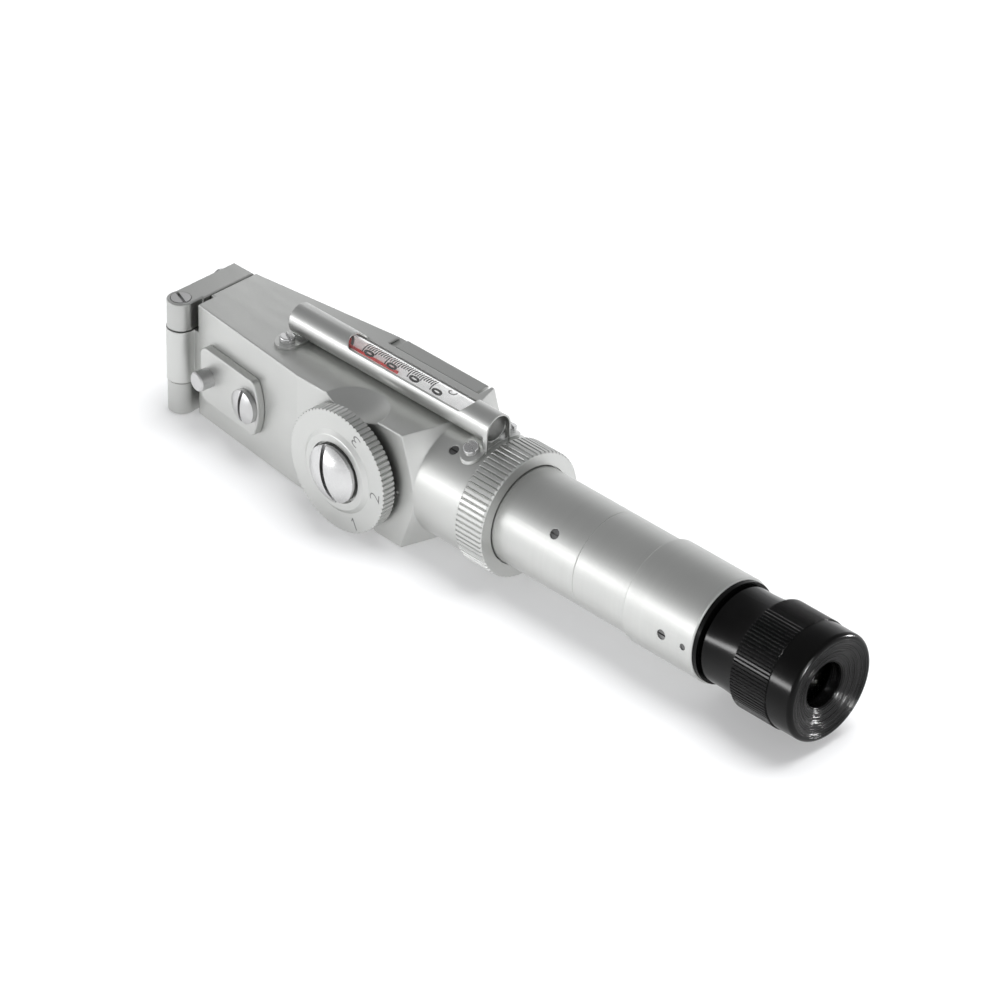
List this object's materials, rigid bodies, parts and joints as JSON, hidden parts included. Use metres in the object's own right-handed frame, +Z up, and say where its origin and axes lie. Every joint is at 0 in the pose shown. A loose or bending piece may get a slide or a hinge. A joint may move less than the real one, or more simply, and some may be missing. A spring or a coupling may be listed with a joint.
{
  "type": "analog refractometer",
  "caption": "Hand-held optical refractometer with hinged prism lid, sliding light shutter, range dial, adjusting ring, thermometer and focusing eyepiece.",
  "frame": {"origin": "centre of the eyecup's smooth rim on the optical axis", "axes": "+X along the optical axis and out of the eyepiece, +Y towards the prism lid, +Z up through the thermometer"},
  "size_m": [0.2041, 0.0403, 0.0391],
  "materials": {
    "housing_metal": "satin, bead blasted",
    "tube_metal": "satin, turned",
    "ring_metal": "satin, knurled",
    "dial_metal": "satin, turned",
    "shutter_metal": "satin",
    "guard_metal": "satin",
    "pin_steel": "turned",
    "screw_steel": "polished",
    "black_steel": "blackened",
    "black_metal": "black anodised",
    "bush_brass": "turned",
    "optical_glass": "polished",
    "clear_glass": "polished",
    "seat_rubber": "matte",
    "white_backing": "matte",
    "red_liquid": "gloss",
    "eyecup_plastic": "gloss"
  },
  "bodies": {
    "housing": {"prism_housing": "housing_metal", "measuring_prism": "optical_glass", "light_window": "optical_glass", "hinge_pin": "pin_steel", "shutter_screw": "pin_steel", "thermometer_guard": "guard_metal", "guard_screws": "screw_steel", "thermometer_tube": "clear_glass", "thermometer_seats": "seat_rubber", "thermometer_backing": "white_backing", "thermometer_liquid": "red_liquid", "neck_set_screw": "black_steel", "knob_bush": "bush_brass", "front_tube": "tube_metal", "middle_tube": "tube_metal", "rear_tube": "tube_metal", "tube_set_screw": "black_steel", "guide_screw": "black_steel", "rear_set_screw": "black_steel", "objective_lens": "optical_glass", "objective_rings": "black_metal", "reticle_disc": "optical_glass", "reticle_ring": "black_metal", "eyepiece_collar": "black_metal"},
    "lid": {"lid_frame": "housing_metal", "illuminating_prism": "optical_glass", "lid_stop_screw": "screw_steel"},
    "shutter": {"shutter_plate": "shutter_metal", "shutter_pin": "pin_steel"},
    "dial": {"range_dial": "dial_metal", "dial_screw": "screw_steel", "range_shaft": "pin_steel", "range_prism": "optical_glass"},
    "ring": {"adjusting_ring": "ring_metal", "drive_pin": "pin_steel", "compensator_cell": "black_metal", "compensator_prism": "optical_glass"},
    "lens_cell": {"eye_lens_cell": "black_metal", "eye_lens": "optical_glass"},
    "eyecup": {"eyecup": "eyecup_plastic", "eye_guard": "eyecup_plastic"}
  },
  "joints": [
    {"name": "lid_hinge", "type": "hinge", "parent": "housing", "child": "lid", "pos_m": [-0.1981, -0.01175, 0], "axis": [0, 0, 1], "range_deg": [0, 110]},
    {"name": "shutter_turn", "type": "hinge", "parent": "housing", "child": "shutter", "pos_m": [-0.17113, -0.01317, -0.0008], "axis": [0.1076, 0.9942, 0], "range_deg": [0, 90]},
    {"name": "dial_turn", "type": "hinge", "parent": "housing", "child": "dial", "pos_m": [-0.1355, -0.015, 0], "axis": [0, -1, 0], "range_deg": [-62, 62]},
    {"name": "ring_turn", "type": "hinge", "parent": "housing", "child": "ring", "pos_m": [-0.0965, 0, 0], "axis": [1, 0, 0], "range_deg": [-60, 60]},
    {"name": "eyepiece_slide", "type": "slide", "parent": "housing", "child": "lens_cell", "axis": [1, 0, 0], "range_m": [-0.0008, 0.0016]},
    {"name": "eyepiece_turn", "type": "hinge", "parent": "lens_cell", "child": "eyecup", "pos_m": [0, 0, 0], "axis": [1, 0, 0], "range_deg": [-60, 120]}
  ],
  "couplings": [
    {"joint": "eyepiece_turn", "follows": "eyepiece_slide", "rad_per_m": 1309}
  ]
}
